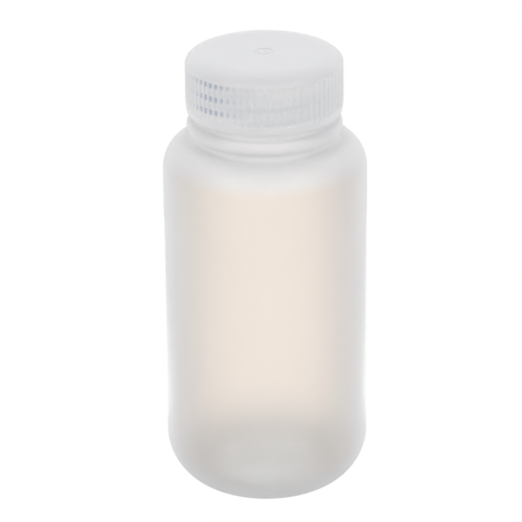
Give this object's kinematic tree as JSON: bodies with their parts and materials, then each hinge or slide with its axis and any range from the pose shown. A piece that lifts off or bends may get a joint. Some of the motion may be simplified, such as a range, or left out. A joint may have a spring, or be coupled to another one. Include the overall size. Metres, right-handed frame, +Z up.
{
  "type": "reagent bottle",
  "caption": "Wide-mouth translucent plastic laboratory bottle with a rounded shoulder, a ribbed screw cap and a sealing disc, for storing liquids and powders.",
  "frame": {"origin": "centre of the ring that the bottle stands on", "axes": "+Z up along the bottle's axis, from the base to the cap; the thread starts near the -Y side"},
  "size_m": [0.0734, 0.0734, 0.167],
  "materials": {
    "bottle_plastic": "translucent natural polypropylene, satin",
    "cap_plastic": "translucent natural polypropylene, satin",
    "liner_foam": "white foamed polyethylene, matt"
  },
  "bodies": {
    "bottle": {"bottle": "bottle_plastic"},
    "liner": {"cap_liner": "liner_foam"},
    "cap": {"cap": "cap_plastic"}
  },
  "joints": [
    {"name": "liner_lift", "type": "slide", "parent": "bottle", "child": "liner", "axis": [0, 0, 1], "range_m": [0, 0.02]},
    {"name": "cap_turn", "type": "hinge", "parent": "liner", "child": "cap", "pos_m": [0, 0, 0.1648], "axis": [0, 0, 1], "range_deg": [0, 1440]}
  ],
  "couplings": [
    {"joint": "liner_lift", "follows": "cap_turn", "m_per_rad": 0.00079577}
  ]
}
